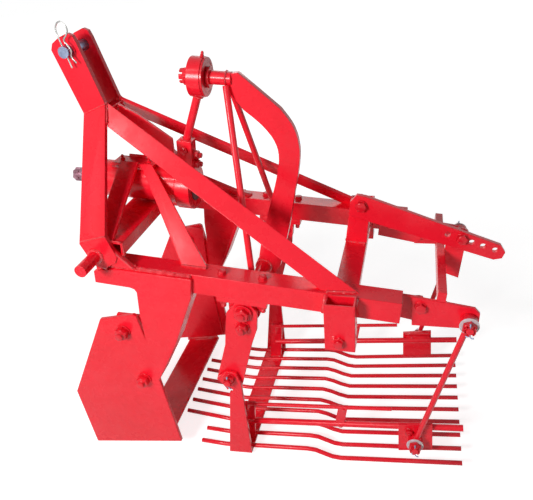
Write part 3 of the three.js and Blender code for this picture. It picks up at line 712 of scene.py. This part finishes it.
# ---------------------------------------------------------------- floor, light
def seen_directly(tree):
    """1 for the rays that look at the background: camera, glossy and transmission."""
    path = tree.nodes.new("ShaderNodeLightPath")
    either = tree.nodes.new("ShaderNodeMath")
    either.operation = "MAXIMUM"
    tree.links.new(path.outputs["Is Camera Ray"], either.inputs[0])
    tree.links.new(path.outputs["Is Glossy Ray"], either.inputs[1])
    any_of = tree.nodes.new("ShaderNodeMath")
    any_of.operation = "MAXIMUM"
    tree.links.new(either.outputs[0], any_of.inputs[0])
    tree.links.new(path.outputs["Is Transmission Ray"], any_of.inputs[1])
    return any_of.outputs[0]


FLOOR_HALF = 14.0
FLOOR_TONE = (0.62, 0.62, 0.62, 1)
# the glow by the distance from the middle, in metres
FLOOR_GLOW = (("From Min", 0.9), ("From Max", 2.6), ("To Min", 0.80), ("To Max", 1.0))
WORLD_LIGHT = 0.09


def make_floor():
    """Plain matt floor; seen directly it glows to white with the distance, and shadows stay."""
    mesh = bpy.data.meshes.new("floor")
    corners = [(x * FLOOR_HALF, y * FLOOR_HALF, 0) for x, y in ((-1, -1), (1, -1), (1, 1), (-1, 1))]
    mesh.from_pydata(corners, [], [(0, 1, 2, 3)])
    obj = bpy.data.objects.new("floor", mesh)
    bpy.context.scene.collection.objects.link(obj)
    mat, tree, bsdf = new_material("floor_white")
    bsdf.inputs["Base Color"].default_value = FLOOR_TONE
    bsdf.inputs["Roughness"].default_value = 0.9
    bsdf.inputs["Specular IOR Level"].default_value = 0.1
    seen = seen_directly(tree)
    glow = tree.nodes.new("ShaderNodeEmission")
    place = tree.nodes.new("ShaderNodeTexCoord")
    far = tree.nodes.new("ShaderNodeVectorMath")
    far.operation = "LENGTH"
    tree.links.new(place.outputs["Object"], far.inputs[0])
    fade = tree.nodes.new("ShaderNodeMapRange")
    for key, value in FLOOR_GLOW:
        fade.inputs[key].default_value = value
    tree.links.new(far.outputs["Value"], fade.inputs["Value"])
    tree.links.new(fade.outputs["Result"], glow.inputs["Strength"])
    dark = node(tree, "ShaderNodeEmission", Strength=0.0)
    pick = tree.nodes.new("ShaderNodeMixShader")
    tree.links.new(seen, pick.inputs["Fac"])
    tree.links.new(dark.outputs[0], pick.inputs[1])
    tree.links.new(glow.outputs[0], pick.inputs[2])
    total = tree.nodes.new("ShaderNodeAddShader")
    tree.links.new(bsdf.outputs[0], total.inputs[0])
    tree.links.new(pick.outputs[0], total.inputs[1])
    tree.links.new(total.outputs[0], tree.nodes["Material Output"].inputs["Surface"])
    mesh.materials.append(mat)


def make_world():
    world = bpy.data.worlds.new("studio")
    bpy.context.scene.world = world
    world.use_nodes = True
    tree = world.node_tree
    ground = tree.nodes["Background"]
    ground.inputs["Color"].default_value = (1, 1, 1, 1)
    ground.inputs["Strength"].default_value = WORLD_LIGHT
    white = node(tree, "ShaderNodeBackground", Strength=1.0, Color=(1, 1, 1, 1))
    seen = seen_directly(tree)
    pick = tree.nodes.new("ShaderNodeMixShader")
    tree.links.new(seen, pick.inputs["Fac"])
    tree.links.new(ground.outputs[0], pick.inputs[1])
    tree.links.new(white.outputs[0], pick.inputs[2])
    tree.links.new(pick.outputs[0], tree.nodes["World Output"].inputs["Surface"])


def make_lamp(name, where, target, size, power):
    data = bpy.data.lights.new(name, "AREA")
    data.shape = "DISK"
    data.size = size
    data.energy = power
    lamp = bpy.data.objects.new(name, data)
    bpy.context.scene.collection.objects.link(lamp)
    lamp.location = where
    lamp.rotation_euler = (Vector(target) - Vector(where)).to_track_quat("-Z", "Y").to_euler()


make_floor()
make_world()
make_lamp("key", (-0.62, -1.75, 1.42), (-0.1, 0, 0.65), 0.5, 31)
make_lamp("fill", (2.2, -1.8, 1.2), (0, 0, 0.4), 1.2, 6)
make_lamp("back", (-0.3, 2.6, 1.9), (0, 0, 0.4), 1.4, 9)
make_lamp("glint", (-0.9, -1.3, 2.5), (0, 0, 0.5), 0.18, 6)
